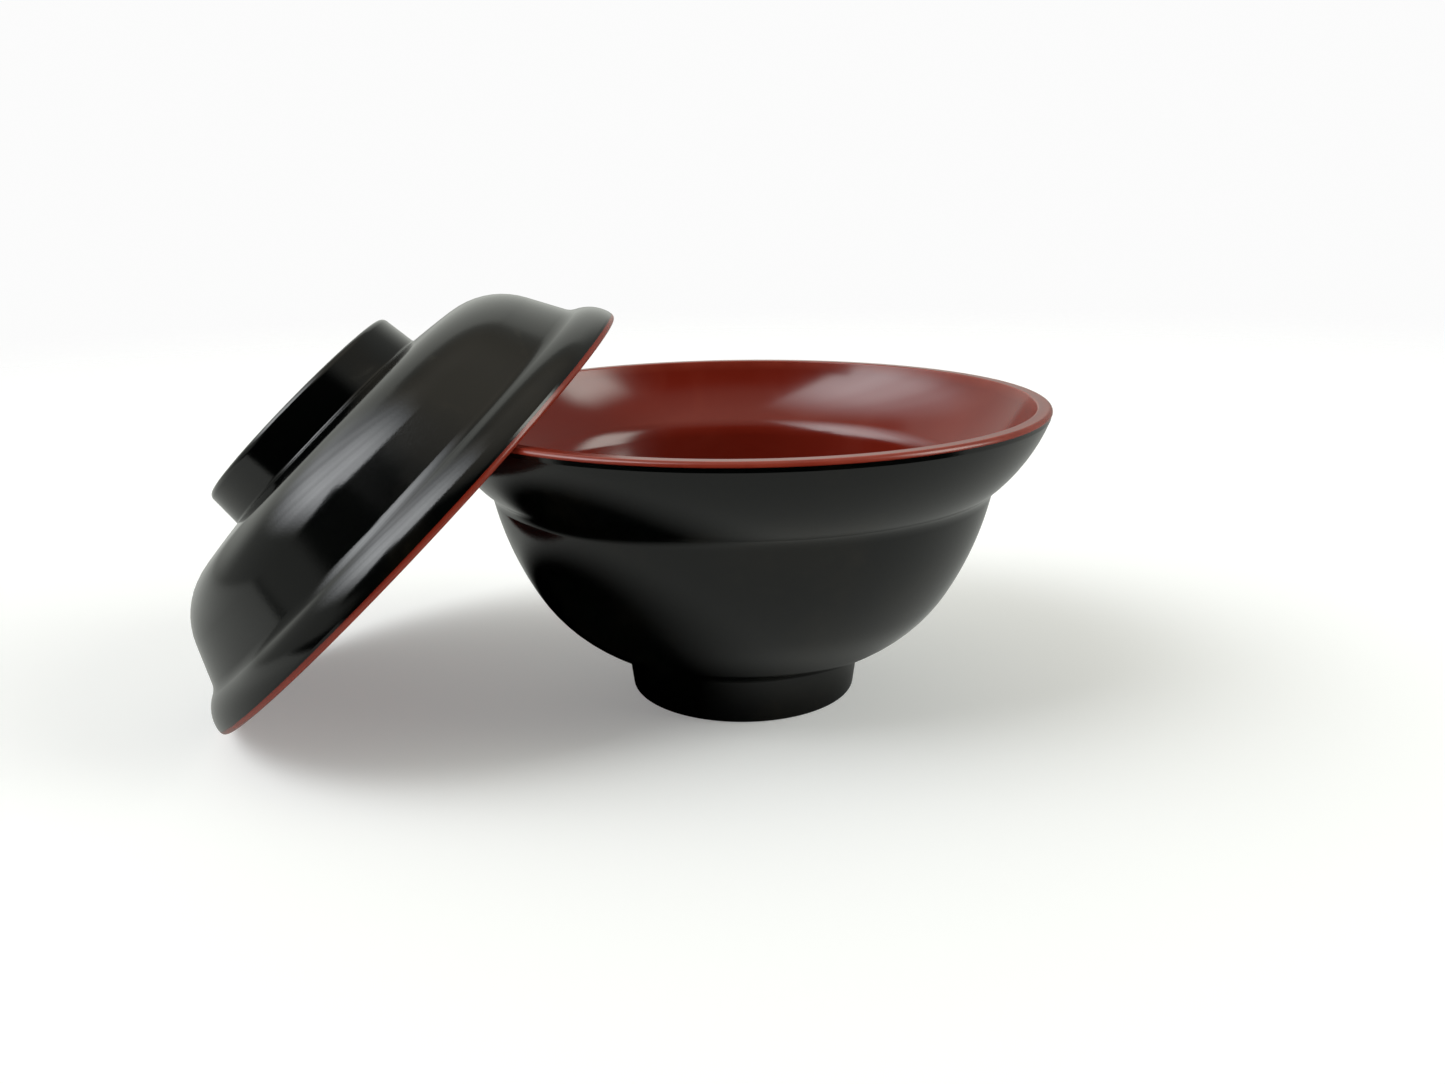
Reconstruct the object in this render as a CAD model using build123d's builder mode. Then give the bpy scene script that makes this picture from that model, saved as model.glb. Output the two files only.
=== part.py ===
from build123d import *
import os
from math import cos, pi, radians, sin, sqrt, tan

# Donburi rice bowl with its lid, in two-tone moulded melamine.
#
# The bowl stands on its foot ring at the origin, with its axis on +Z.  The lid leans against
# the bowl on the -X side: its lowest edge stands on the same surface as the foot, and the
# bowl's rim reaches a little way into the lid's hollow.
#
# Both are a black shell with a red lining that wraps over the edge.  Each wall is drawn as
# one profile of arcs, and every face of it is that profile moved inwards by a depth:
# 0 is the outside, the shell's thickness is where shell and lining meet, and the whole wall
# is the inside.  Lengths are in millimetres and angles in degrees.

os.makedirs("parts", exist_ok=True)

# Bowl, outside
rim_diameter = 165.0
bowl_height = 82.3
shoulder_diameter = 137.2       # the groove where the flared rim starts
shoulder_height = 60.4
waist_diameter = 116.6          # where the side turns into the round bottom
waist_height = 32.5
flare_bulge = 1.6               # how far the flared rim stands out from its chord
side_bulge = 1.3
shoulder_round = 6.0

# Bowl, walls
bowl_shell_wall = 2.3
bowl_lining_wall = 1.8
bowl_floor = 5.0                # whole thickness between the foot's recess and the inside
rim_band = 1.2                  # height of the lining's band outside the rim
rim_overhang = 0.3              # how far that band stands out over the shell
rim_upright = 1.2               # height of the shell's upright edge under that band
rim_outer_round = 1.1
rim_inner_round = 0.6

# Bowl, foot ring
foot_diameter = 63.6            # at the bottom
foot_top_diameter = 66.8
foot_height = 12.7
foot_wall = 4.2
foot_round = 1.0
foot_root_round = 0.8

# Lid
lid_seat_depth = 6.2            # from the bowl's rim down to where the lid's clearance is taken
lid_seat_clearance = 0.4        # there, of the lid's edge before its corners are rounded
lid_crown_height = 35.3         # of the dome's middle above the lid's edge
lid_crown_radius = 310.0
lid_dome_round = 22.0           # radius between the dome's side and its crown
lid_side_angle = 28.0           # of the dome's side against the lid's axis
lip_width = 7.1                 # of the flange outside the dome's side
lip_height = 9.4
lip_bulge = 1.2
lip_root_round = 5.0
lid_shell_wall = 1.6
lid_lining_wall = 1.1
edge_band = 1.5                 # height of the lining's band outside the edge
edge_overhang = 0.1
edge_upright = 0.6              # height of the shell's upright edge beside that band
edge_outer_round = 1.0
edge_inner_round = 1.3

# Lid, grip ring
grip_diameter = 66.6            # at the crown
grip_top_diameter = 64.6
grip_height = 43.6              # above the lid's edge
grip_wall = 4.0
grip_floor = 4.0                # thickness of the crown inside the ring
grip_round = 1.6
grip_root_round = 0.8

# How the lid leans
lean_angle = 43.9               # between the lid's axis and the bowl's
rest_gap = 0.3                  # between the lid's edge and the bowl's rim
rest_accuracy = 0.003           # how nearly that gap is met
edge_points = 720               # points tried on half of the lid's edge

bowl_wall = bowl_shell_wall + bowl_lining_wall
lid_wall = lid_shell_wall + lid_lining_wall


# ---- Circles and crossings in a profile, where X is the radius and Y the height

def bulged_circle(low, high, bulge):
    """Centre and radius of the arc from low to high that stands out from its chord by bulge."""
    chord = high - low
    radius = (chord.length**2 / 4 + bulge**2) / (2 * bulge)
    outwards = Vector(chord.Y, -chord.X).normalized()
    return (low + high) / 2 + outwards * (bulge - radius), radius


def tangent_circle(centre, touch, end):
    """Centre and radius of the arc that leaves the circle about centre at touch and ends at end."""
    inwards = (centre - touch).normalized()
    chord = end - touch
    radius = chord.length**2 / (2 * chord.dot(inwards))
    return touch + inwards * radius, radius


def at_height(centre, radius, height):
    """The circle's outer point at a height."""
    return Vector(centre.X + sqrt(radius**2 - (height - centre.Y)**2), height)


def circles_meet(centre, radius, other_centre, other_radius):
    """The outermost crossing of two circles."""
    between = other_centre - centre
    along = (radius**2 - other_radius**2 + between.length**2) / (2 * between.length)
    across = sqrt(radius**2 - along**2)
    middle = centre + between.normalized() * along
    sideways = Vector(-between.Y, between.X).normalized() * across
    return max(middle + sideways, middle - sideways, key=lambda point: point.X)


def line_meets_circle(start, direction, centre, radius):
    """The crossing of a line and a circle that lies furthest along the line."""
    to_centre = centre - start
    along = to_centre.dot(direction)
    half_chord = sqrt(radius**2 - (to_centre.length**2 - along**2))
    return start + direction * (along + half_chord)


def arc_between(start, end, centre, radius):
    """The shorter arc about centre from start to end."""
    middle = ((start + end) / 2 - centre).normalized() * radius + centre
    return ThreePointArc(start, middle, end)


def round_corners(sketch, corners):
    """Rounds each named corner of a sketch, given as (point, radius) pairs."""
    for point, radius in corners:
        fillet(sketch.vertices().sort_by_distance(point)[0], radius)


# ---- The bowl's profile

band_bottom = bowl_height - rim_band
rim_point = Vector(rim_diameter / 2 - rim_overhang, band_bottom - rim_upright)
shoulder_point = Vector(shoulder_diameter / 2, shoulder_height)
waist_point = Vector(waist_diameter / 2, waist_height)
foot_point = Vector(foot_top_diameter / 2, foot_height)

flare_centre, flare_radius = bulged_circle(shoulder_point, rim_point, flare_bulge)
side_centre, side_radius = bulged_circle(waist_point, shoulder_point, side_bulge)
bottom_centre, bottom_radius = tangent_circle(side_centre, waist_point, foot_point)


def bowl_shoulder(depth):
    """The corner between the flared rim and the side at a depth into the wall."""
    return circles_meet(flare_centre, flare_radius - depth, side_centre, side_radius - depth)


def bowl_waist(depth):
    """The point at a depth into the wall where the side turns into the round bottom."""
    return side_centre + (waist_point - side_centre).normalized() * (side_radius - depth)


def bowl_bottom(depth):
    """The lowest point of the round bottom at a depth into the wall."""
    return bottom_centre - Vector(0, bottom_radius - depth)


def bowl_face(depth, top, end=None):
    """Draws the wall's face at a depth, from a height near the rim down to end or to the axis."""
    last = end or bowl_bottom(depth)
    arc_between(at_height(flare_centre, flare_radius - depth, top), bowl_shoulder(depth),
                flare_centre, flare_radius - depth)
    arc_between(bowl_shoulder(depth), bowl_waist(depth), side_centre, side_radius - depth)
    arc_between(bowl_waist(depth), last, bottom_centre, bottom_radius - depth)
    if end is None:
        Line(last, Vector(0, last.Y))


shell_rim = Vector(rim_point.X, band_bottom)
joint_rim = at_height(flare_centre, flare_radius - bowl_shell_wall, band_bottom)
inner_rim = at_height(flare_centre, flare_radius - bowl_wall, bowl_height)
recess_height = bowl_bottom(bowl_wall).Y - bowl_floor
foot_inner_radius = foot_diameter / 2 - foot_wall
recess_radius = foot_inner_radius - (foot_top_diameter - foot_diameter) / 2 * recess_height / foot_height

with BuildPart() as bowl_shell:
    with BuildSketch(Plane.XZ) as bowl_shell_section:
        with BuildLine():
            Line(shell_rim, rim_point)
            bowl_face(0, rim_point.Y, foot_point)
            Polyline(foot_point, (foot_diameter / 2, 0), (foot_inner_radius, 0),
                     (recess_radius, recess_height), (0, recess_height),
                     (0, bowl_bottom(bowl_shell_wall).Y))
            bowl_face(bowl_shell_wall, band_bottom)
            Line(joint_rim, shell_rim)
        make_face()
        round_corners(bowl_shell_section, [
            (bowl_shoulder(0), shoulder_round),
            (bowl_shoulder(bowl_shell_wall), shoulder_round + bowl_shell_wall),
            (foot_point, foot_root_round),
            ((foot_diameter / 2, 0), foot_round),
            ((foot_inner_radius, 0), foot_round),
            ((recess_radius, recess_height), foot_root_round),
        ])
    revolve(axis=Axis.Z)

with BuildPart() as bowl_lining:
    with BuildSketch(Plane.XZ) as bowl_lining_section:
        with BuildLine():
            bowl_face(bowl_shell_wall, band_bottom)
            Polyline(joint_rim, (rim_diameter / 2, band_bottom), (rim_diameter / 2, bowl_height),
                     inner_rim)
            bowl_face(bowl_wall, bowl_height)
            Line((0, bowl_bottom(bowl_wall).Y), (0, bowl_bottom(bowl_shell_wall).Y))
        make_face()
        round_corners(bowl_lining_section, [
            (bowl_shoulder(bowl_shell_wall), shoulder_round + bowl_shell_wall),
            (bowl_shoulder(bowl_wall), shoulder_round + bowl_wall),
            ((rim_diameter / 2, bowl_height), rim_outer_round),
            (inner_rim, rim_inner_round),
        ])
    revolve(axis=Axis.Z)


# ---- The lid's profile: the height is along the lid's axis, from the plane of its edge

lid_seat = at_height(flare_centre, flare_radius - bowl_wall, bowl_height - lid_seat_depth)
edge_radius = lid_seat.X - lid_seat_clearance
edge_point = Vector(edge_radius - edge_overhang, edge_band + edge_upright)
lip_root = Vector(edge_radius - lip_width, lip_height)
side_direction = Vector(-sin(radians(lid_side_angle)), cos(radians(lid_side_angle)))
side_outwards = Vector(cos(radians(lid_side_angle)), sin(radians(lid_side_angle)))

lip_centre, lip_radius = bulged_circle(edge_point, lip_root, lip_bulge)
crown_centre = Vector(0, lid_crown_height - lid_crown_radius)
dome_centre = line_meets_circle(lip_root - side_outwards * lid_dome_round, side_direction,
                                crown_centre, lid_crown_radius - lid_dome_round)


def lip_corner(depth):
    """The corner between the lip and the dome's side at a depth into the wall."""
    return line_meets_circle(lip_root - side_outwards * depth, side_direction,
                             lip_centre, lip_radius - depth)


def dome_low(depth):
    """Where the dome's straight side ends at a depth into the wall."""
    return dome_centre + side_outwards * (lid_dome_round - depth)


def dome_high(depth):
    """Where the crown starts at a depth into the wall."""
    return crown_centre + (dome_centre - crown_centre).normalized() * (lid_crown_radius - depth)


def lid_face(depth, bottom, end=None):
    """Draws the wall's face at a depth, from a height near the edge up to end or to the axis."""
    last = end or crown_centre + Vector(0, lid_crown_radius - depth)
    arc_between(at_height(lip_centre, lip_radius - depth, bottom), lip_corner(depth),
                lip_centre, lip_radius - depth)
    Line(lip_corner(depth), dome_low(depth))
    arc_between(dome_low(depth), dome_high(depth), dome_centre, lid_dome_round - depth)
    arc_between(dome_high(depth), last, crown_centre, lid_crown_radius - depth)


shell_edge = Vector(edge_point.X, edge_band)
joint_edge = at_height(lip_centre, lip_radius - lid_shell_wall, edge_band)
inner_edge = at_height(lip_centre, lip_radius - lid_wall, 0)
grip_root = crown_centre + Vector(
    grip_diameter / 2, sqrt(lid_crown_radius**2 - (grip_diameter / 2)**2))
grip_inner_radius = grip_top_diameter / 2 - grip_wall
grip_floor_height = lid_crown_height - lid_wall + grip_floor
grip_draft = (grip_diameter - grip_top_diameter) / 2 / (grip_height - grip_root.Y)
grip_floor_radius = grip_inner_radius - grip_draft * (grip_height - grip_floor_height)


# ---- How the lid leans: its lowest edge stands at height 0 and its edge's inner corner
# ---- lies on the outer corner of the bowl's rim, at one point on either side

lean = radians(lean_angle)
lid_centre_height = ((edge_radius - edge_outer_round) * sin(lean)
                     + edge_outer_round * (1 - cos(lean)))


def edge_to_rim(distance):
    """The gap between the two rounded corners when the lid's edge is centred this far out."""
    corner_radius = at_height(lip_centre, lip_radius - lid_wall + edge_inner_round,
                              edge_inner_round).X
    gaps = []
    for step in range(edge_points + 1):
        around = pi * step / edge_points
        out = corner_radius * cos(around)
        point = Vector(-distance + out * cos(lean) - edge_inner_round * sin(lean),
                       corner_radius * sin(around),
                       lid_centre_height + out * sin(lean) + edge_inner_round * cos(lean))
        beyond_rim = Vector(point.X, point.Y).length - (rim_diameter / 2 - rim_outer_round)
        above_rim = point.Z - (bowl_height - rim_outer_round)
        gaps.append(Vector(beyond_rim, above_rim).length)
    return min(gaps) - edge_inner_round - rim_outer_round


def leaning_distance():
    """How far the centre of the lid's edge lies from the bowl's axis, found by halving."""
    up_the_edge = (bowl_height - lid_centre_height) / tan(lean)
    half_chord = sqrt(inner_edge.X**2 - (up_the_edge / cos(lean))**2)
    sharp = sqrt((rim_diameter / 2)**2 - half_chord**2) + up_the_edge
    near = sharp - rim_outer_round - edge_inner_round
    far = sharp + bowl_wall + lid_wall
    while far - near > rest_accuracy:
        middle = (near + far) / 2
        if edge_to_rim(middle) < rest_gap:
            near = middle
        else:
            far = middle
    return far


lid_centre = Vector(-leaning_distance(), 0, lid_centre_height)
lid_axis_direction = Vector(-sin(lean), 0, cos(lean))
lid_plane = Plane(lid_centre, x_dir=(cos(lean), 0, sin(lean)), z_dir=(0, -1, 0))
lid_axis = Axis(lid_centre, lid_axis_direction)

with BuildPart() as lid_shell:
    with BuildSketch(lid_plane) as lid_shell_section:
        with BuildLine():
            Line(shell_edge, edge_point)
            lid_face(0, edge_point.Y, grip_root)
            Polyline(grip_root, (grip_top_diameter / 2, grip_height),
                     (grip_inner_radius, grip_height), (grip_floor_radius, grip_floor_height),
                     (0, grip_floor_height), (0, lid_crown_height - lid_shell_wall))
            lid_face(lid_shell_wall, edge_band)
            Line(joint_edge, shell_edge)
        make_face()
        round_corners(lid_shell_section, [
            (lip_corner(0), lip_root_round),
            (lip_corner(lid_shell_wall), lip_root_round + lid_shell_wall),
            (grip_root, grip_root_round),
            ((grip_top_diameter / 2, grip_height), grip_round),
            ((grip_inner_radius, grip_height), grip_round),
            ((grip_floor_radius, grip_floor_height), grip_root_round),
        ])
    revolve(axis=lid_axis)

with BuildPart() as lid_lining:
    with BuildSketch(lid_plane) as lid_lining_section:
        with BuildLine():
            lid_face(lid_shell_wall, edge_band)
            Polyline(joint_edge, (edge_radius, edge_band), (edge_radius, 0), inner_edge)
            lid_face(lid_wall, 0)
            Line((0, lid_crown_height - lid_wall), (0, lid_crown_height - lid_shell_wall))
        make_face()
        round_corners(lid_lining_section, [
            (lip_corner(lid_shell_wall), lip_root_round + lid_shell_wall),
            (lip_corner(lid_wall), lip_root_round + lid_wall),
            ((edge_radius, 0), edge_outer_round),
            (inner_edge, edge_inner_round),
        ])
    revolve(axis=lid_axis)

pieces = {
    "bowl_shell": bowl_shell.part,
    "bowl_lining": bowl_lining.part,
    "lid_shell": lid_shell.part,
    "lid_lining": lid_lining.part,
}
for name, piece in pieces.items():
    piece.label = name
    export_step(piece, f"parts/{name}.step")

print(f"lid's edge: diameter {2 * edge_radius:.1f}, centre {lid_centre}")
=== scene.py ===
import cmath
import math
from collections import namedtuple

import bpy
from bpy.props import FloatProperty, FloatVectorProperty, PointerProperty
from mathutils import Matrix, Vector


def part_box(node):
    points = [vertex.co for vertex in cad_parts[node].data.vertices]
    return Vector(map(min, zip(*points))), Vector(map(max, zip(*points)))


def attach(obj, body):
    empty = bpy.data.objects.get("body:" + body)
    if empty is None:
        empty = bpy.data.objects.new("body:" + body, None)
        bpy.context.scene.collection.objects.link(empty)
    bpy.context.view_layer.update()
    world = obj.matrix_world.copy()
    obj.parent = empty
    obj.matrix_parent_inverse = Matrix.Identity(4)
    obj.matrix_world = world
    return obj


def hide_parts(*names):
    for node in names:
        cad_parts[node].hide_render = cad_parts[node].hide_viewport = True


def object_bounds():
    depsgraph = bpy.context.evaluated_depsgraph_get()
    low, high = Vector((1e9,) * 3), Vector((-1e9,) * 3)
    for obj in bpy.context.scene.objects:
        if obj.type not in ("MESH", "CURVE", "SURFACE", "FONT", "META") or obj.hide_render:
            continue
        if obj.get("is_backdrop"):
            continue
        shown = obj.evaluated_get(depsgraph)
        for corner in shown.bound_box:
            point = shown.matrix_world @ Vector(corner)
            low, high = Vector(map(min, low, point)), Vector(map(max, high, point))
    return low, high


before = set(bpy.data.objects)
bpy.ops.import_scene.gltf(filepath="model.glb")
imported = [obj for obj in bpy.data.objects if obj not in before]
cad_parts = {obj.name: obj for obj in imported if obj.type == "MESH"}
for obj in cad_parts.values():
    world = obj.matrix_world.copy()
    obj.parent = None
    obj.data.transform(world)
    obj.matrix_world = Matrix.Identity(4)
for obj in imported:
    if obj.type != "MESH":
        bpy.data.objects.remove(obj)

bl_info = {
    "name": "Donburi Rice Bowl",
    "version": (1, 0, 0),
    "blender": (4, 5, 0),
    "location": "View3D > Sidebar > Rice Bowl",
    "description": "Finishes for a two-tone melamine rice bowl with a lid, on a pale studio table",
    "category": "Object",
}

MM = 0.001


# ---- Sizes of the moulded walls, in millimetres and degrees: the CAD model has the same ones

RIM_DIAMETER = 165.0
BOWL_HEIGHT = 82.3
SHOULDER_DIAMETER = 137.2       # the groove where the flared rim starts
SHOULDER_HEIGHT = 60.4
WAIST_DIAMETER = 116.6          # where the side turns into the round bottom
WAIST_HEIGHT = 32.5
FLARE_BULGE = 1.6               # how far the flared rim stands out from its chord
SIDE_BULGE = 1.3
SHOULDER_ROUND = 6.0
BOWL_SHELL_WALL = 2.3
BOWL_LINING_WALL = 1.8
BOWL_WALL = BOWL_SHELL_WALL + BOWL_LINING_WALL
BOWL_FLOOR = 5.0
RIM_BAND = 1.2                  # height of the lining's band outside the rim
RIM_OVERHANG = 0.3
RIM_UPRIGHT = 1.2               # height of the shell's upright edge under that band
RIM_OUTER_ROUND = 1.1
RIM_INNER_ROUND = 0.6

FOOT_DIAMETER = 63.6
FOOT_TOP_DIAMETER = 66.8
FOOT_HEIGHT = 12.7
FOOT_WALL = 4.2
FOOT_ROUND = 1.0
FOOT_ROOT_ROUND = 0.8

SEAT_DEPTH = 6.2                # from the rim down to where the lid's clearance is taken
SEAT_CLEARANCE = 0.4
CROWN_HEIGHT = 35.3             # of the dome's middle above the lid's edge
CROWN_RADIUS = 310.0
DOME_ROUND = 22.0
DOME_SIDE_ANGLE = 28.0
LIP_WIDTH = 7.1                 # of the flange outside the dome's side
LIP_HEIGHT = 9.4
LIP_BULGE = 1.2
LIP_ROOT_ROUND = 5.0
LID_SHELL_WALL = 1.6
LID_LINING_WALL = 1.1
LID_WALL = LID_SHELL_WALL + LID_LINING_WALL
EDGE_BAND = 1.5                 # height of the lining's band outside the edge
EDGE_OVERHANG = 0.1
EDGE_UPRIGHT = 0.6              # height of the shell's upright edge beside that band
EDGE_OUTER_ROUND = 1.0
EDGE_INNER_ROUND = 1.3

GRIP_DIAMETER = 66.6            # at the crown
GRIP_TOP_DIAMETER = 64.6
GRIP_HEIGHT = 43.6              # above the lid's edge
GRIP_WALL = 4.0
GRIP_FLOOR = 4.0
GRIP_ROUND = 1.6
GRIP_ROOT_ROUND = 0.8

SIDES = 180                     # faces round the axis
ARC_STEP = math.radians(5.99)   # under 6, so that rounding can't change a quarter arc's count
LONGEST = 3.0                   # longest face along a section
SHARPEST = 2.5                  # arcs of a smaller radius than this are edges that wear and, in red, get a painted highlight
ON_AXIS = 0.001                 # a point this near the axis is one vertex on it


# ---- Lines and circles in a section, whose points are complex numbers: radius + height * 1j

Circle = namedtuple("Circle", "centre radius")
Ray = namedtuple("Ray", "start direction")


def unit(vector):
    """The vector at length 1."""
    return vector / abs(vector)


def dot(first, second):
    """How far second reaches along first, times first's length."""
    return (first.conjugate() * second).real


def cross(first, second):
    """How far second reaches to the left of first, times first's length."""
    return (first.conjugate() * second).imag


def bulged_circle(low, high, bulge):
    """The circle through low and high whose arc stands out from their chord by bulge."""
    chord = high - low
    radius = (abs(chord)**2 / 4 + bulge**2) / (2 * bulge)
    return Circle((low + high) / 2 - 1j * unit(chord) * (bulge - radius), radius)


def tangent_circle(circle, touch, end):
    """The circle that leaves another one at touch and passes through end."""
    inwards = unit(circle.centre - touch)
    radius = abs(end - touch)**2 / (2 * dot(end - touch, inwards))
    return Circle(touch + inwards * radius, radius)


def moved_in(circle, depth):
    """The circle of the wall's face at a depth."""
    return Circle(circle.centre, circle.radius - depth)


def at_height(circle, height):
    """The circle's outer point at a height."""
    rise = height - circle.centre.imag
    return complex(circle.centre.real + math.sqrt(circle.radius**2 - rise**2), height)


def crossings(first, second):
    """Where two lines or circles cross."""
    if isinstance(first, Circle) and isinstance(second, Circle):
        between = second.centre - first.centre
        along = (first.radius**2 - second.radius**2 + abs(between)**2) / (2 * abs(between))
        across = math.sqrt(first.radius**2 - along**2)
        return [first.centre + unit(between) * complex(along, hand * across) for hand in (1, -1)]
    if isinstance(first, Circle):
        first, second = second, first
    if isinstance(second, Circle):
        to_centre = second.centre - first.start
        half_chord = math.sqrt(second.radius**2 - cross(first.direction, to_centre)**2)
        return [first.start + first.direction * (dot(first.direction, to_centre) + hand * half_chord)
                for hand in (1, -1)]
    along = (cross(second.start - first.start, second.direction)
             / cross(first.direction, second.direction))
    return [first.start + first.direction * along]


# ---- Paths: a list of (point, rounding) and a list of what joins them, a circle or None

def straight(*corners):
    """A path of straight lines."""
    return list(corners), [None] * (len(corners) - 1)


def backwards(path):
    """The path from its end to its start."""
    corners, joins = path
    return corners[::-1], joins[::-1]


def joined(*paths):
    """The paths one after the other, with straight lines between them."""
    corners, joins = list(paths[0][0]), list(paths[0][1])
    for more_corners, more_joins in paths[1:]:
        corners += more_corners
        joins += [None, *more_joins]
    return corners, joins


def way_round(side, start, end):
    """1 where a side runs anticlockwise about its centre, and -1 where it runs clockwise."""
    return math.copysign(1.0, cross(start - side.centre, end - side.centre))


def heading(side, start, end, place):
    """The direction of travel at a place on a side."""
    if isinstance(side, Ray):
        return side.direction
    return way_round(side, start, end) * 1j * unit(place - side.centre)


def moved_left(side, start, end, distance):
    """A side moved to the left of its travel."""
    if isinstance(side, Ray):
        return Ray(side.start + side.direction * 1j * distance, side.direction)
    return moved_in(side, way_round(side, start, end) * distance)


def nearest(side, place):
    """The point of a side that is nearest to a place."""
    if isinstance(side, Ray):
        return side.start + side.direction * dot(side.direction, place - side.start)
    return side.centre + unit(place - side.centre) * side.radius


def arc_height(radius, chord):
    """How far an arc stands out from its chord."""
    return radius - math.sqrt(radius**2 - abs(chord)**2 / 4)


def rounded_section(path):
    """Rounds a path's corners and gives rows of radius, height and the bulge to the next row."""
    corners, joins = path
    ends = [(near, far) for (near, _), (far, _) in zip(corners, corners[1:])]
    sides = [join or Ray(near, unit(far - near)) for join, (near, far) in zip(joins, ends)]
    stops = []
    for index, (corner, rounding) in enumerate(corners):
        if rounding == 0:
            stops.append((corner, corner, None))
            continue
        before = (sides[index - 1], *ends[index - 1])
        after = (sides[index], *ends[index])
        turn = math.copysign(1.0, cross(heading(*before, corner), heading(*after, corner)))
        centre = min(crossings(moved_left(*before, turn * rounding),
                               moved_left(*after, turn * rounding)),
                     key=lambda place: abs(place - corner))
        enter, leave = nearest(before[0], centre), nearest(after[0], centre)
        stops.append((enter, leave, turn * arc_height(rounding, leave - enter)))
    rows = []
    for index, (enter, leave, bulge) in enumerate(stops):
        if bulge is not None:
            rows.append((enter.real, enter.imag, bulge))
        onwards = 0
        if index < len(sides) and isinstance(sides[index], Circle):
            chord = stops[index + 1][0] - leave
            onwards = (way_round(sides[index], *ends[index])
                       * arc_height(sides[index].radius, chord))
        rows.append((leave.real, leave.imag, onwards))
    return rows


# ---- The bowl's sections

BAND_BOTTOM = BOWL_HEIGHT - RIM_BAND
RIM_POINT = complex(RIM_DIAMETER / 2 - RIM_OVERHANG, BAND_BOTTOM - RIM_UPRIGHT)
SHOULDER_POINT = complex(SHOULDER_DIAMETER / 2, SHOULDER_HEIGHT)
WAIST_POINT = complex(WAIST_DIAMETER / 2, WAIST_HEIGHT)
FOOT_POINT = complex(FOOT_TOP_DIAMETER / 2, FOOT_HEIGHT)
FLARE = bulged_circle(SHOULDER_POINT, RIM_POINT, FLARE_BULGE)
SIDE = bulged_circle(WAIST_POINT, SHOULDER_POINT, SIDE_BULGE)
BOTTOM = tangent_circle(SIDE, WAIST_POINT, FOOT_POINT)


def bowl_face(depth, top, top_round=0.0, start=None):
    """The wall's face at a depth, from the axis, or from start, up to a height at the rim."""
    flare, side, bottom = (moved_in(circle, depth) for circle in (FLARE, SIDE, BOTTOM))
    lowest = bottom.centre - 1j * bottom.radius
    shoulder = max(crossings(flare, side), key=lambda point: point.real)
    waist = side.centre + unit(WAIST_POINT - side.centre) * side.radius
    corners = [(waist, 0), (shoulder, SHOULDER_ROUND + depth), (at_height(flare, top), top_round)]
    if start:
        return [start, *corners], [bottom, side, flare]
    return [(1j * lowest.imag, 0), (lowest, 0), *corners], [None, bottom, side, flare]


def bowl_shell_section():
    """The black outside of the bowl with its foot ring."""
    recess_height = BOTTOM.centre.imag - BOTTOM.radius + BOWL_WALL - BOWL_FLOOR
    inner_radius = FOOT_DIAMETER / 2 - FOOT_WALL
    draft = (FOOT_TOP_DIAMETER - FOOT_DIAMETER) / 2 / FOOT_HEIGHT
    recess_radius = inner_radius - draft * recess_height
    return rounded_section(joined(
        straight((1j * recess_height, 0), (complex(recess_radius, recess_height), FOOT_ROOT_ROUND),
                 (complex(inner_radius), FOOT_ROUND), (complex(FOOT_DIAMETER / 2), FOOT_ROUND)),
        bowl_face(0.0, RIM_POINT.imag, start=(FOOT_POINT, FOOT_ROOT_ROUND)),
        straight((complex(RIM_POINT.real, BAND_BOTTOM), 0)),
        backwards(bowl_face(BOWL_SHELL_WALL, BAND_BOTTOM))))


def bowl_lining_section():
    """The red inside of the bowl, which wraps over the rim."""
    return rounded_section(joined(
        bowl_face(BOWL_SHELL_WALL, BAND_BOTTOM),
        straight((complex(RIM_DIAMETER / 2, BAND_BOTTOM), 0),
                 (complex(RIM_DIAMETER / 2, BOWL_HEIGHT), RIM_OUTER_ROUND)),
        backwards(bowl_face(BOWL_WALL, BOWL_HEIGHT, RIM_INNER_ROUND))))


# ---- The lid's sections, with the height measured from the plane of its edge

EDGE_RADIUS = (at_height(moved_in(FLARE, BOWL_WALL), BOWL_HEIGHT - SEAT_DEPTH).real
               - SEAT_CLEARANCE)
EDGE_POINT = complex(EDGE_RADIUS - EDGE_OVERHANG, EDGE_BAND + EDGE_UPRIGHT)
LIP_ROOT = complex(EDGE_RADIUS - LIP_WIDTH, LIP_HEIGHT)
LIP = bulged_circle(EDGE_POINT, LIP_ROOT, LIP_BULGE)
CROWN = Circle(1j * (CROWN_HEIGHT - CROWN_RADIUS), CROWN_RADIUS)
SIDE_OUTWARDS = cmath.rect(1.0, math.radians(DOME_SIDE_ANGLE))
SIDE_UPWARDS = 1j * SIDE_OUTWARDS


def furthest_along(start, circle):
    """Where the dome's straight side through start leaves a circle."""
    return max(crossings(Ray(start, SIDE_UPWARDS), circle), key=lambda point: point.imag)


DOME = Circle(furthest_along(LIP_ROOT - SIDE_OUTWARDS * DOME_ROUND, moved_in(CROWN, DOME_ROUND)),
              DOME_ROUND)


def lid_face(depth, edge, edge_round=0.0, start=None):
    """The wall's face at a depth, from the axis, or from start, down to a height at the edge."""
    crown, dome, lip = (moved_in(circle, depth) for circle in (CROWN, DOME, LIP))
    dome_high = crown.centre + unit(dome.centre - crown.centre) * crown.radius
    dome_low = dome.centre + SIDE_OUTWARDS * dome.radius
    lip_corner = furthest_along(LIP_ROOT - SIDE_OUTWARDS * depth, lip)
    top = start or (crown.centre + 1j * crown.radius, 0)
    return ([top, (dome_high, 0), (dome_low, 0), (lip_corner, LIP_ROOT_ROUND + depth),
             (at_height(lip, edge), edge_round)], [crown, dome, None, lip])


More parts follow.
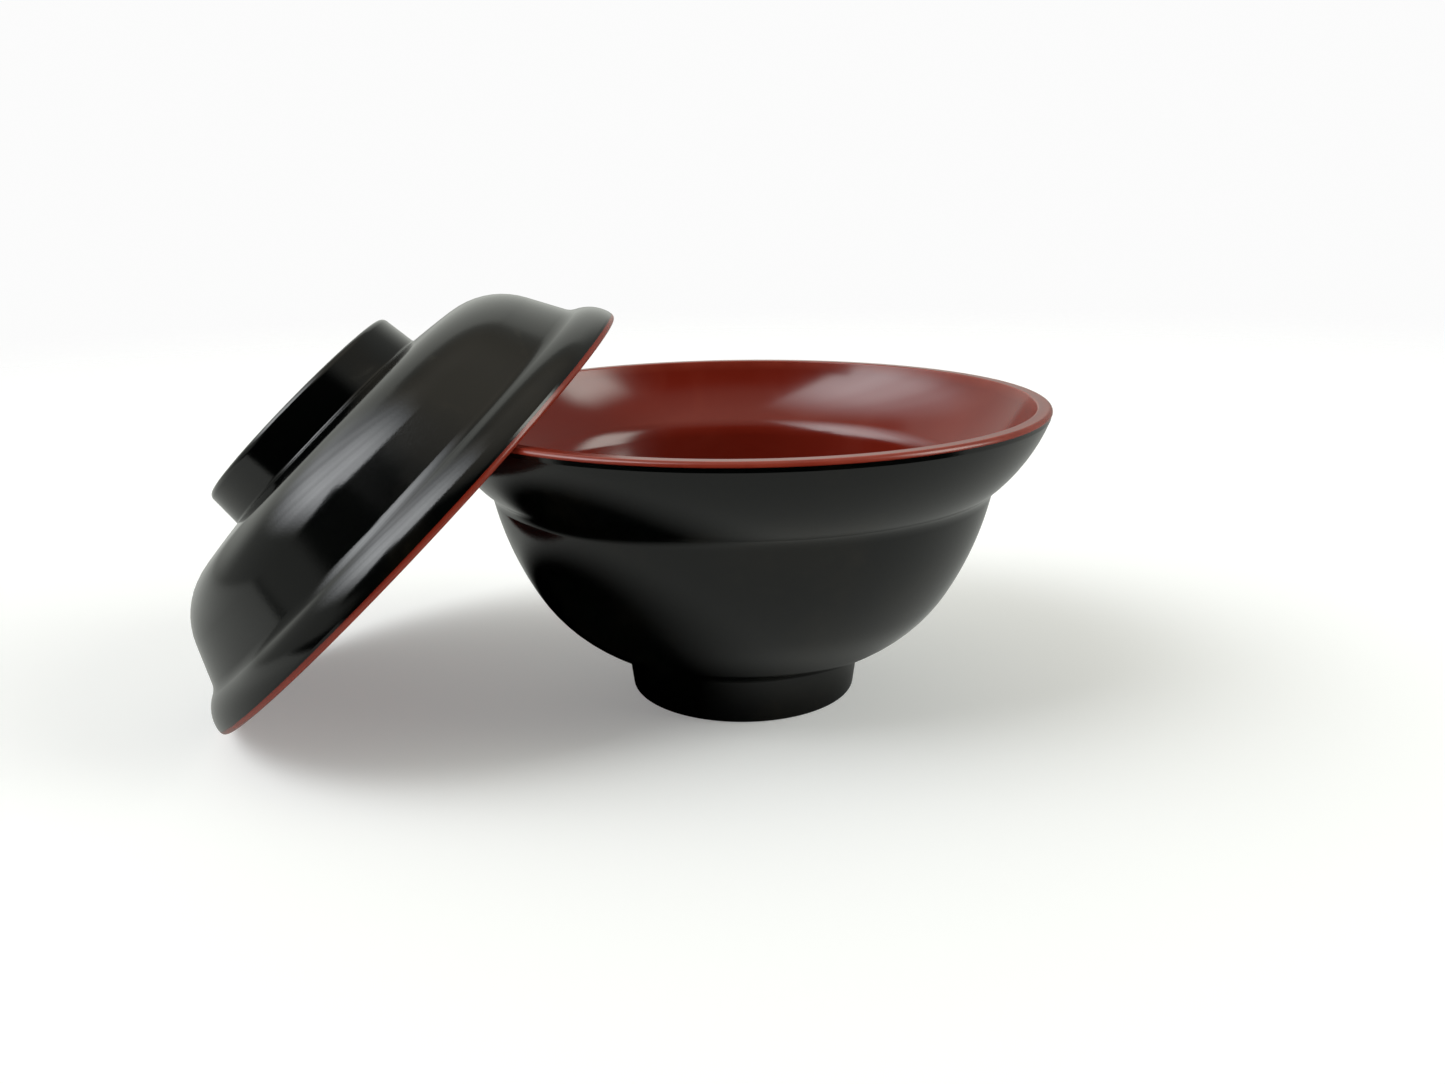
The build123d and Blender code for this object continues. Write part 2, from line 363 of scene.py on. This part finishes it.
def lid_shell_section():
    """The black outside of the lid with its grip ring."""
    root = complex(GRIP_DIAMETER / 2, CROWN.centre.imag
                   + math.sqrt(CROWN_RADIUS**2 - (GRIP_DIAMETER / 2)**2))
    inner_radius = GRIP_TOP_DIAMETER / 2 - GRIP_WALL
    floor_height = CROWN_HEIGHT - LID_WALL + GRIP_FLOOR
    draft = (GRIP_DIAMETER - GRIP_TOP_DIAMETER) / 2 / (GRIP_HEIGHT - root.imag)
    floor_radius = inner_radius - draft * (GRIP_HEIGHT - floor_height)
    return rounded_section(joined(
        lid_face(LID_SHELL_WALL, EDGE_BAND),
        straight((complex(EDGE_POINT.real, EDGE_BAND), 0)),
        backwards(lid_face(0.0, EDGE_POINT.imag, start=(root, GRIP_ROOT_ROUND))),
        straight((complex(GRIP_TOP_DIAMETER / 2, GRIP_HEIGHT), GRIP_ROUND),
                 (complex(inner_radius, GRIP_HEIGHT), GRIP_ROUND),
                 (complex(floor_radius, floor_height), GRIP_ROOT_ROUND), (1j * floor_height, 0))))


def lid_lining_section():
    """The red inside of the lid, which wraps over the edge."""
    return rounded_section(joined(
        lid_face(LID_WALL, 0.0, EDGE_INNER_ROUND),
        straight((complex(EDGE_RADIUS), EDGE_OUTER_ROUND), (complex(EDGE_RADIUS, EDGE_BAND), 0)),
        backwards(lid_face(LID_SHELL_WALL, EDGE_BAND))))


# ---- The room by direction. Angles are in degrees: a patch is a range of headings, clockwise
# ---- from +Y, and one of heights. It rises over a range's first two and falls over its last two.

LARGE_WINDOW = ((-135, -129, -112, -48), (14, 34, 46, 78))
SMALL_WINDOW = ((84, 98, 114, 126), (0, 14, 36, 52))
SCREEN = ((-146, -142, -121, -118), (8, 16, 35, 39))        # a dark thing before the window
BACK_WALL = ((-75, -50, 5, 35), (-8, 8, 46, 51))
SCREEN_SHADE = 0.95             # how much of the light the screen takes
WINDOW_SLANT = 0.6              # heading gained for each degree of height over the pivot
WINDOW_PIVOT = 45
CURTAIN_FOLDS = 9               # folds to the radian
CURTAIN_LIGHT = (0.72, 1.15)    # brightness in and between the folds
CEILING_RISE = (55, 80)
CAMERA_SIDE = (118, 146)        # headings, either way, over which the room darkens
CAMERA_SIDE_TOP = (46, 60)
WARM_RISE = (48, 62)
WALL_TINT = (0.97, 1.0, 0.93)
CEILING_TINT = (1.0, 0.95, 0.82)
WINDOW_TINT = (0.95, 0.98, 1.0)
PAPER_WHITE = 0.97              # the backdrop, which only the camera sees

ORIGIN = (0.0, 0.0, 0.0)
TABLE_HALF = 3.0                # metres
TABLE_FADE = (0.35, 1.3)        # distances at which the table starts to fade and is gone
TABLE_TINT = (0.97, 1.0, 0.94)  # in reflections
UNDER_LID = ((-0.062, 0.0, 0.0), 0.050, 0.095)              # painted shadows in reflections; the sheltered patches: the centre,
UNDER_FOOT = (ORIGIN, 0.032, 0.056, 0.3)           # two radii and the light left there
WINDOW_SIDE = (-0.30, -0.12)    # X over which the mirrored table loses the window's light
WINDOW_SIDE_LIGHT = 1.55
TABLE_FRONT = (-0.180, -0.155)  # Y over which the mirrored table rises from dark

MELAMINE_IOR = 1.53


# ---- Shader graphs

class Graph:
    """A node tree that is built by calls: each call adds a node and returns its output."""

    def __init__(self, tree):
        self.tree = tree
        tree.nodes.clear()

    def node(self, kind, inputs=None, **settings):
        """Adds a node, sets its properties, and links or sets its inputs."""
        node = self.tree.nodes.new(kind)
        for name, value in settings.items():
            setattr(node, name, value)
        for name, value in (inputs or {}).items():
            self.feed(node.inputs[name], value)
        return node

    def feed(self, socket, value):
        """Links an output to a socket, or sets the socket's own value."""
        if isinstance(value, bpy.types.NodeSocket):
            self.tree.links.new(value, socket)
        else:
            socket.default_value = value

    def math(self, operation, first, second=0.0, clamp=False):
        """One arithmetic step on numbers."""
        return self.node("ShaderNodeMath", {0: first, 1: second},
                         operation=operation, use_clamp=clamp).outputs[0]

    def product(self, *values):
        """All the values multiplied."""
        result = values[0]
        for value in values[1:]:
            result = self.math("MULTIPLY", result, value)
        return result

    def total(self, *values):
        """All the values added."""
        result = values[0]
        for value in values[1:]:
            result = self.math("ADD", result, value)
        return result

    def span(self, value, low, high, to_low=0.0, to_high=1.0):
        """Eases a value from to_low, at low and under, to to_high, at high and over."""
        return self.node("ShaderNodeMapRange",
                         {"Value": value, "From Min": low, "From Max": high,
                          "To Min": to_low, "To Max": to_high},
                         interpolation_type="SMOOTHSTEP").outputs["Result"]

    def noise(self, place, scale, detail=2.0, roughness=0.5, distortion=0.0):
        """Cloudy noise around 0.5, where scale is features to the metre."""
        return self.node("ShaderNodeTexNoise",
                         {"Vector": place, "Scale": scale, "Detail": detail,
                          "Roughness": roughness, "Distortion": distortion}).outputs["Fac"]

    def blend(self, share, first, second):
        """Mixes two colours."""
        mix = self.node("ShaderNodeMix", {"Factor": share}, data_type="RGBA")
        self.feed(mix.inputs[6], first)
        self.feed(mix.inputs[7], second)
        return mix.outputs[2]

    def bump(self, height, distance, normal=None):
        """Tilts the surface by a height in units of distance, in metres."""
        inputs = {"Height": height, "Distance": distance}
        if normal is not None:
            inputs["Normal"] = normal
        return self.node("ShaderNodeBump", inputs).outputs["Normal"]


def opaque(colour):
    """A colour with its alpha."""
    return (*colour, 1.0)


# ---- Sizes and colours that a user would change

class ShellFinish(bpy.types.PropertyGroup):
    """The black moulded melamine of the bowl's and the lid's outside."""

    colour: FloatVectorProperty(
        name="Colour", description="Colour of the black melamine", subtype="COLOR",
        size=3, min=0.0, max=1.0, default=(0.0014, 0.0017, 0.0016))
    film_colour: FloatVectorProperty(
        name="Film", description="Colour of the thin film left by hands", subtype="COLOR",
        size=3, min=0.0, max=1.0, default=(0.0105, 0.0088, 0.0055))
    dust_colour: FloatVectorProperty(
        name="Dust", description="Colour of the dust specks", subtype="COLOR",
        size=3, min=0.0, max=1.0, default=(0.34, 0.33, 0.30))
    roughness: FloatProperty(
        name="Roughness", description="Roughness of the clean gloss", subtype="FACTOR",
        min=0.0, max=1.0, default=0.07)
    smudge_roughness: FloatProperty(
        name="Smudges", description="Roughness added where it was handled", subtype="FACTOR",
        min=0.0, max=1.0, default=0.12)


class LiningFinish(bpy.types.PropertyGroup):
    """The red moulded melamine of the insides and the edges."""

    colour: FloatVectorProperty(
        name="Colour", description="Colour of the red melamine", subtype="COLOR",
        size=3, min=0.0, max=1.0, default=(0.200, 0.0165, 0.0075))
    # Lighter red for real rubbed patches, and for the painted highlight laid along the rims' small
    # corners
    rubbed_and_lit_colour: FloatVectorProperty(
        name="Worn colour", description="Colour where the gloss is rubbed", subtype="COLOR",
        size=3, min=0.0, max=1.0, default=(0.300, 0.042, 0.023))
    roughness: FloatProperty(
        name="Roughness", description="Roughness of the clean gloss", subtype="FACTOR",
        min=0.0, max=1.0, default=0.13)


class StudioSetup(bpy.types.PropertyGroup):
    """How the lid leans, the camera, the table and the light."""

    lid_lean: FloatProperty(
        name="Lean", description="Angle between the lid's axis and the bowl's",
        subtype="ANGLE", default=math.radians(43.9))
    camera_distance: FloatProperty(
        name="Distance", description="Distance of the camera from the bowl's axis",
        unit="LENGTH", default=0.316)
    camera_height: FloatProperty(
        name="Height", description="Height of the camera over the table",
        unit="LENGTH", default=0.1333)
    camera_side: FloatProperty(
        name="Side", description="How far the camera stands round towards the lid",
        subtype="ANGLE", default=math.radians(5.9))
    camera_turn: FloatProperty(
        name="Turn", description="Heading of the camera, clockwise from +Y",
        subtype="ANGLE", default=math.radians(4.89))
    camera_tilt: FloatProperty(
        name="Tilt", description="How far the camera looks down",
        subtype="ANGLE", default=math.radians(16.24))
    camera_roll: FloatProperty(
        name="Roll", description="Turn of the camera about its own line of sight",
        subtype="ANGLE", default=math.radians(-0.78))
    camera_lens: FloatProperty(
        name="Lens", description="Focal length on a 36 mm wide sensor, in millimetres",
        default=28.88)
    table_colour: FloatVectorProperty(
        name="Table", description="Colour of the pale table", subtype="COLOR",
        size=3, min=0.0, max=1.0, default=(0.86, 0.86, 0.85))
    table_glow: FloatProperty(
        name="Table glow", description="Light added to the table as the camera sees it",
        min=0.0, default=0.30)
    mirrored_table: FloatProperty(
        name="Mirrored table", description="Brightness of the table in reflections",
        min=0.0, default=0.40)
    wall_light: FloatProperty(
        name="Walls", description="Brightness of the walls", min=0.0, default=0.30)
    back_light: FloatProperty(
        name="Back wall", description="Brightness added to the wall behind the lid",
        min=0.0, default=0.42)
    ceiling_light: FloatProperty(
        name="Ceiling", description="Brightness added overhead", min=0.0, default=0.22)
    window_light: FloatProperty(
        name="Large window", description="Brightness of the window on the lid's side",
        min=0.0, default=5.6)
    small_window_light: FloatProperty(
        name="Small window", description="Brightness of the window opposite the lid",
        min=0.0, default=5.2)


# ---- Turned pieces

def section_runs(section):
    """The section's runs, each a list of (point, outward normal), and whether each is an edge."""
    runs = []
    for (r0, h0, bulge), (r1, h1, _) in zip(section, section[1:]):
        start, end = Vector((r0, h0)), Vector((r1, h1))
        chord = end - start
        outwards = Vector((chord.y, -chord.x)).normalized()
        if bulge == 0:
            steps = max(1, math.ceil(chord.length / LONGEST))
            run = [(start.lerp(end, step / steps), outwards) for step in range(steps + 1)]
            runs.append((run, False))
            continue
        side = math.copysign(1.0, bulge)
        radius = (chord.length**2 / 4 + bulge**2) / (2 * abs(bulge))
        centre = (start + end) / 2 + outwards * (bulge - side * radius)
        sweep = 4 * math.atan2(2 * abs(bulge), chord.length)
        steps = max(math.ceil(sweep / ARC_STEP), math.ceil(sweep * radius / LONGEST))
        run = []
        for step in range(steps + 1):
            turned = Matrix.Rotation(side * sweep * step / steps, 2) @ (start - centre)
            run.append((centre + turned, side * turned.normalized()))
        runs.append((run, bulge > 0 and radius < SHARPEST))
    return runs


def turned_mesh(name, section):
    """A mesh that is the section turned about Z, in metres, with exact normals.

    Its "edge" attribute is 1 on the small outer corners and 0 away from them.
    """
    verts, faces, normals, wear_and_light = [], [], [], []
    around = [(math.cos(turn), math.sin(turn))
              for turn in (math.tau * side / SIDES for side in range(SIDES))]

    def ring(point, edge):
        """Adds the vertices of one ring, or the one vertex on the axis."""
        first = len(verts)
        spots = around if point.x > ON_AXIS else [(0.0, 0.0)]
        verts.extend((point.x * c * MM, point.x * s * MM, point.y * MM) for c, s in spots)
        wear_and_light.extend([float(edge)] * len(spots))
        return [first + side % len(spots) for side in range(SIDES)]

    def facing(normal, side):
        """The section's normal turned to one side."""
        c, s = around[side % SIDES]
        return (normal.x * c, normal.x * s, normal.y)

    below = None
    for run, edge in section_runs(section):
        below = below or ring(run[0][0], edge)
        for (_, near), (point, far) in zip(run, run[1:]):
            above = ring(point, edge)
            for side in range(SIDES):
                corners = [(below[side], facing(near, side)),
                           (below[(side + 1) % SIDES], facing(near, side + 1)),
                           (above[(side + 1) % SIDES], facing(far, side + 1)),
                           (above[side], facing(far, side))]
                if corners[0][0] == corners[1][0]:
                    corners.pop(0)
                if corners[-1][0] == corners[-2][0]:
                    corners.pop()
                faces.append([vertex for vertex, _ in corners])
                normals.extend(normal for _, normal in corners)
            below = above
    mesh = bpy.data.meshes.new(name)
    mesh.from_pydata(verts, [], faces)
    mesh.shade_smooth()
    mesh.normals_split_custom_set(normals)
    mesh.attributes.new("edge", "FLOAT", "POINT").data.foreach_set("value", wear_and_light)
    return mesh


def lid_placing(lean):
    """The lid's axis frame, from the box of its lining: its edge touches the table."""
    low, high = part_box("lid_lining")
    corner = EDGE_OUTER_ROUND * MM
    reach = high.y - corner
    centre = Vector((high.x - corner - reach * math.cos(lean) + corner * math.sin(lean), 0.0,
                     low.z + reach * math.sin(lean) + corner * (1 - math.cos(lean))))
    return Matrix.Translation(centre) @ Matrix.Rotation(-lean, 4, "Y")


def turn_piece(name, section, node, body, material, placing=None):
    """Makes one turned piece in place of a CAD node."""
    mesh = turned_mesh(name, section)
    scale = (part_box(node)[1].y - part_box(node)[0].y) / (2 * max(row[0] for row in section) * MM)
    mesh.transform((placing or Matrix.Identity(4)) @ Matrix.Scale(scale, 4))
    mesh.materials.append(material)
    piece = bpy.data.objects.new(name, mesh)
    bpy.context.scene.collection.objects.link(piece)
    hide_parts(node)
    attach(piece, body)


# ---- Finishes

def edge_wear_and_light(graph, place, low, high, least=0.0):
    """Patches along the small outer corners, for rubbed roughness and, in the red lining's colour, a
    painted highlight.
    """
    edge = graph.node("ShaderNodeAttribute", attribute_name="edge").outputs["Fac"]
    wear_and_light = graph.noise(place, scale=110, detail=3, roughness=0.6)
    return graph.product(edge, graph.span(wear_and_light, low, high, least))


def moulded_gloss(graph, colour, roughness, normal):
    """Ends a graph in the glossy surface of moulded melamine."""
    shader = graph.node("ShaderNodeBsdfPrincipled",
                        {"Base Color": colour, "Roughness": roughness, "IOR": MELAMINE_IOR,
                         "Normal": normal})
    graph.node("ShaderNodeOutputMaterial", {"Surface": shader.outputs[0]})


def black_melamine(finish):
    """High-gloss black melamine: clear reflections, handled patches, hairlines and dust."""
    material = bpy.data.materials.new("black_melamine_gloss")
    material.use_nodes = True
    graph = Graph(material.node_tree)
    place = graph.node("ShaderNodeTexCoord").outputs["Object"]
    handled = graph.span(graph.noise(place, scale=26, detail=3, roughness=0.55, distortion=0.4),
                         low=0.52, high=0.68)
    prints = graph.span(graph.noise(place, scale=95, detail=4, roughness=0.65, distortion=1.2),
                        low=0.56, high=0.70)
    smudges = graph.math("ADD", graph.product(handled, 0.45),
                         graph.product(handled, prints, 0.55))
    grime = graph.span(graph.noise(place, scale=9), low=0.35, high=0.7)
    edge_patches = edge_wear_and_light(graph, place, low=0.4, high=0.7)
    roughness = graph.total(
        finish.roughness, graph.product(smudges, finish.smudge_roughness),
        graph.product(grime, 0.03), graph.product(graph.noise(place, scale=900), 0.03),
        graph.product(edge_patches, 0.08))
    specks = graph.node("ShaderNodeTexVoronoi", {"Vector": place, "Scale": 55.0}).outputs
    speck_size = graph.span(graph.noise(place, scale=130, detail=1), low=0.45, high=0.75,
                            to_high=0.028)
    dust = graph.math("LESS_THAN", specks["Distance"], speck_size)
    film = graph.blend(smudges, opaque(finish.colour), opaque(finish.film_colour))
    colour = graph.blend(dust, film, opaque(finish.dust_colour))
    stretched = graph.node("ShaderNodeMapping", {"Vector": place, "Scale": (60.0, 9.0, 60.0),
                                                 "Rotation": (0.6, 0.2, 0.9)}).outputs[0]
    hairlines = graph.noise(stretched, scale=34, detail=3, roughness=0.7)
    waves = graph.bump(graph.noise(place, scale=22, detail=1), distance=0.25 * MM)
    normal = graph.bump(hairlines, distance=0.012 * MM, normal=waves)
    moulded_gloss(graph, colour, roughness, normal)
    return material


def red_melamine(finish):
    """Glossy brick-red melamine: rubbed patches and fine marks left by use, and a painted highlight
    along the rims' small corners.
    """
    material = bpy.data.materials.new("red_melamine_gloss")
    material.use_nodes = True
    graph = Graph(material.node_tree)
    place = graph.node("ShaderNodeTexCoord").outputs["Object"]
    rubbed = graph.span(graph.noise(place, scale=30, detail=4, roughness=0.6, distortion=0.6),
                        low=0.45, high=0.75)
    marks = graph.noise(place, scale=420, detail=3, roughness=0.7)
    # Painted highlight: along the rims' small corners the red is lightened at least 0.55 of the way
    # to the lighter red, as if more lit; real rubbed patches ride on it
    edge_patches = edge_wear_and_light(graph, place, low=0.25, high=0.7, least=0.55)
    roughness = graph.total(finish.roughness, graph.product(rubbed, 0.07),
                            graph.product(marks, 0.04), graph.product(edge_patches, 0.06))
    # The colour mixes real rubbed patches with the painted highlight on the rims
    wear_and_rim_light = graph.math("MAXIMUM", graph.product(rubbed, 0.22), edge_patches)
    colour = graph.blend(wear_and_rim_light, opaque(finish.colour), opaque(finish.rubbed_and_lit_colour))
    waves = graph.bump(graph.noise(place, scale=24, detail=1), distance=0.22 * MM)
    normal = graph.bump(marks, distance=0.006 * MM, normal=waves)
    moulded_gloss(graph, colour, roughness, normal)
    return material


# ---- Studio

def patch(graph, turn, lift, around, up):
    """A soft-edged patch of sky: each range rises over its first two angles, falls over its last.

    The angles are in degrees, the first four a heading and the last four a height.
    """
    edges = []
    for value, angles in ((turn, around), (lift, up)):
        start, full, fade, end = map(math.radians, angles)
        edges.append(graph.span(value, start, full))
        edges.append(graph.span(value, fade, end, 1.0, 0.0))
    return graph.product(*edges)


def light_room(studio):
    """A soft room: plain walls, a large window on the lid's side and a small one opposite."""
    world = bpy.data.worlds.new("studio_room")
    world.use_nodes = True
    bpy.context.scene.world = world
    graph = Graph(world.node_tree)
    direction = graph.node("ShaderNodeTexCoord").outputs["Generated"]
    axes = graph.node("ShaderNodeSeparateXYZ", {"Vector": direction}).outputs
    turn = graph.math("ARCTAN2", axes["X"], axes["Y"])
    lift = graph.math("ARCSINE", axes["Z"])
    slanted = graph.math("ADD", turn, graph.product(
        graph.math("SUBTRACT", lift, math.radians(WINDOW_PIVOT)), WINDOW_SLANT))
    fold_place = graph.node("ShaderNodeCombineXYZ", {"X": slanted}).outputs[0]
    folds = graph.span(graph.noise(fold_place, scale=CURTAIN_FOLDS, roughness=0.6), 0.3, 0.7,
                       *CURTAIN_LIGHT)
    large = graph.product(patch(graph, slanted, lift, *LARGE_WINDOW), folds, studio.window_light)
    small = graph.product(patch(graph, turn, lift, *SMALL_WINDOW), studio.small_window_light)
    screen = graph.product(patch(graph, turn, lift, *SCREEN), SCREEN_SHADE)
    back_wall = patch(graph, turn, lift, *BACK_WALL)
    ceiling = graph.span(lift, *map(math.radians, CEILING_RISE))
    beside = graph.span(graph.math("ABSOLUTE", turn), *map(math.radians, CAMERA_SIDE))
    low = graph.span(lift, *map(math.radians, CAMERA_SIDE_TOP), to_low=1.0, to_high=0.0)
    lit = graph.math("SUBTRACT", 1.0, graph.product(beside, low))
    walls = graph.total(studio.wall_light, graph.product(back_wall, studio.back_light),
                        graph.product(ceiling, studio.ceiling_light))
    strength = graph.product(graph.total(graph.product(walls, lit), large, small),
                             graph.math("SUBTRACT", 1.0, screen))
    overhead = graph.span(lift, *map(math.radians, WARM_RISE))
    room_tint = graph.blend(overhead, opaque(WALL_TINT), opaque(CEILING_TINT))
    tint = graph.blend(graph.math("MINIMUM", large, 1.0), room_tint, opaque(WINDOW_TINT))
    seen = graph.node("ShaderNodeLightPath").outputs["Is Camera Ray"]
    room = graph.node("ShaderNodeBackground", {"Color": tint, "Strength": strength})
    paper = graph.node("ShaderNodeBackground",
                       {"Color": (1.0, 1.0, 1.0, 1.0), "Strength": PAPER_WHITE})
    mix = graph.node("ShaderNodeMixShader", {"Fac": seen})
    graph.feed(mix.inputs[1], room.outputs[0])
    graph.feed(mix.inputs[2], paper.outputs[0])
    graph.node("ShaderNodeOutputWorld", {"Surface": mix.outputs[0]})


def table_material(studio):
    """A pale matt table that fades into the backdrop and is clear below; in reflections it glows
    grey, with painted shadows under the lid and foot and painted light on the window side.
    """
    material = bpy.data.materials.new("pale_table")
    material.use_nodes = True
    graph = Graph(material.node_tree)
    place = graph.node("ShaderNodeTexCoord").outputs["Object"]
    rays = graph.node("ShaderNodeLightPath").outputs

    def away_from(centre, inner, outer, lowest=0.0):
        """From lowest within the inner radius of a point to 1 beyond the outer radius."""
        distance = graph.node("ShaderNodeVectorMath", {0: place, 1: centre},
                              operation="DISTANCE").outputs["Value"]
        return graph.span(distance, inner, outer, lowest)

    paint = graph.node("ShaderNodeBsdfDiffuse", {"Color": opaque(studio.table_colour)})
    glow = graph.node("ShaderNodeEmission", {
        "Color": opaque(studio.table_colour),
        "Strength": graph.product(rays["Is Camera Ray"], studio.table_glow)})
    seen = graph.node("ShaderNodeAddShader")
    graph.feed(seen.inputs[0], paint.outputs[0])
    graph.feed(seen.inputs[1], glow.outputs[0])
    # Painted shadows: in reflections the table darkens under the lid and round the foot
    sheltered = graph.product(away_from(*UNDER_LID), away_from(*UNDER_FOOT))
    axes = graph.node("ShaderNodeSeparateXYZ", {"Vector": place}).outputs
    by_window = graph.product(graph.span(axes["X"], *WINDOW_SIDE, WINDOW_SIDE_LIGHT, 1.0),
                              graph.span(axes["Y"], *TABLE_FRONT))
    # For glossy rays the table is a glow, not lit: painted light, darkened by the painted shadows
    # above
    mirrored = graph.node("ShaderNodeEmission", {
        "Color": opaque(TABLE_TINT),
        "Strength": graph.product(sheltered, by_window, studio.mirrored_table)})
    top = graph.node("ShaderNodeMixShader", {"Fac": rays["Is Glossy Ray"]})
    graph.feed(top.inputs[1], seen.outputs[0])
    graph.feed(top.inputs[2], mirrored.outputs[0])
    clear = graph.node("ShaderNodeBsdfTransparent")
    under = graph.node("ShaderNodeNewGeometry").outputs["Backfacing"]
    share = graph.math("MAXIMUM", away_from(ORIGIN, *TABLE_FADE), under)
    fade = graph.node("ShaderNodeMixShader", {"Fac": share})
    graph.feed(fade.inputs[1], top.outputs[0])
    graph.feed(fade.inputs[2], clear.outputs[0])
    graph.node("ShaderNodeOutputMaterial", {"Surface": fade.outputs[0]})
    return material


def lay_table(studio):
    """The table top, level with the lowest point of the object."""
    mesh = bpy.data.meshes.new("table_top")
    corners = [(-TABLE_HALF, -TABLE_HALF, 0), (TABLE_HALF, -TABLE_HALF, 0),
               (TABLE_HALF, TABLE_HALF, 0), (-TABLE_HALF, TABLE_HALF, 0)]
    mesh.from_pydata(corners, [], [(0, 1, 2, 3)])
    mesh.materials.append(table_material(studio))
    table = bpy.data.objects.new("table_top", mesh)
    table.location.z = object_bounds()[0][2]
    bpy.context.scene.collection.objects.link(table)
    table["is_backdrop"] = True


def place_camera(studio):
    """The camera in front of the bowl and a little above its rim."""
    camera = bpy.data.objects.new("front_camera", bpy.data.cameras.new("front_camera"))
    camera.data.sensor_width = 36.0
    camera.data.lens = studio.camera_lens
    camera.data.clip_start = 0.01
    place = Vector((-math.sin(studio.camera_side) * studio.camera_distance,
                    -math.cos(studio.camera_side) * studio.camera_distance,
                    studio.camera_height))
    aim = (Matrix.Rotation(-studio.camera_turn, 4, "Z")
           @ Matrix.Rotation(math.pi / 2 - studio.camera_tilt, 4, "X")
           @ Matrix.Rotation(studio.camera_roll, 4, "Z"))
    camera.matrix_world = Matrix.Translation(place) @ aim
    bpy.context.scene.collection.objects.link(camera)
    bpy.context.scene.camera = camera


# ---- Operators

class RICEBOWL_OT_shells(bpy.types.Operator):
    """Finish the outsides of the bowl and the lid in black melamine"""

    bl_idname = "ricebowl.shells"
    bl_label = "Finish the black shells"

    def execute(self, context):
        gloss = black_melamine(context.scene.ricebowl_shell)
        placing = lid_placing(context.scene.ricebowl_studio.lid_lean)
        turn_piece("bowl_outside", bowl_shell_section(), "bowl_shell", "bowl",
                   gloss)
        turn_piece("lid_outside", lid_shell_section(), "lid_shell", "lid",
                   gloss, placing)
        return {"FINISHED"}


class RICEBOWL_OT_linings(bpy.types.Operator):
    """Finish the insides and edges of the bowl and the lid in red melamine"""

    bl_idname = "ricebowl.linings"
    bl_label = "Finish the red linings"

    def execute(self, context):
        gloss = red_melamine(context.scene.ricebowl_lining)
        placing = lid_placing(context.scene.ricebowl_studio.lid_lean)
        turn_piece("bowl_inside", bowl_lining_section(), "bowl_lining", "bowl",
                   gloss)
        turn_piece("lid_inside", lid_lining_section(), "lid_lining", "lid",
                   gloss, placing)
        return {"FINISHED"}


class RICEBOWL_OT_stage(bpy.types.Operator):
    """Lay the pale table, light the room and place the camera"""

    bl_idname = "ricebowl.stage"
    bl_label = "Set the stage"

    def execute(self, context):
        studio = context.scene.ricebowl_studio
        lay_table(studio)
        light_room(studio)
        place_camera(studio)
        context.scene.view_settings.view_transform = "Standard"
        return {"FINISHED"}


class RICEBOWL_PT_panel(bpy.types.Panel):
    """The rice bowl's finishes and stage"""

    bl_label = "Rice Bowl"
    bl_idname = "RICEBOWL_PT_panel"
    bl_space_type = "VIEW_3D"
    bl_region_type = "UI"
    bl_category = "Rice Bowl"

    def draw(self, context):
        for operator, settings in STEPS:
            box = self.layout.box()
            box.operator(operator.bl_idname)
            group = getattr(context.scene, settings)
            for name in group.__annotations__:
                box.prop(group, name)


STEPS = (
    (RICEBOWL_OT_stage, "ricebowl_studio"),
    (RICEBOWL_OT_shells, "ricebowl_shell"),
    (RICEBOWL_OT_linings, "ricebowl_lining"),
)
SETTINGS = {
    "ricebowl_shell": ShellFinish,
    "ricebowl_lining": LiningFinish,
    "ricebowl_studio": StudioSetup,
}
CLASSES = (*SETTINGS.values(), *(operator for operator, _ in STEPS), RICEBOWL_PT_panel)


def register():
    """Registers the classes and hangs the settings on the scene."""
    for cls in CLASSES:
        bpy.utils.register_class(cls)
    for name, group in SETTINGS.items():
        setattr(bpy.types.Scene, name, PointerProperty(type=group))


def unregister():
    """Takes the settings and the classes away again."""
    for name in SETTINGS:
        delattr(bpy.types.Scene, name)
    for cls in reversed(CLASSES):
        bpy.utils.unregister_class(cls)


def main():
    """Builds everything in order."""
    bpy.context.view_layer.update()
    register()
    bpy.ops.ricebowl.stage()
    bpy.ops.ricebowl.shells()
    bpy.ops.ricebowl.linings()


if __name__ == "__main__":
    main()
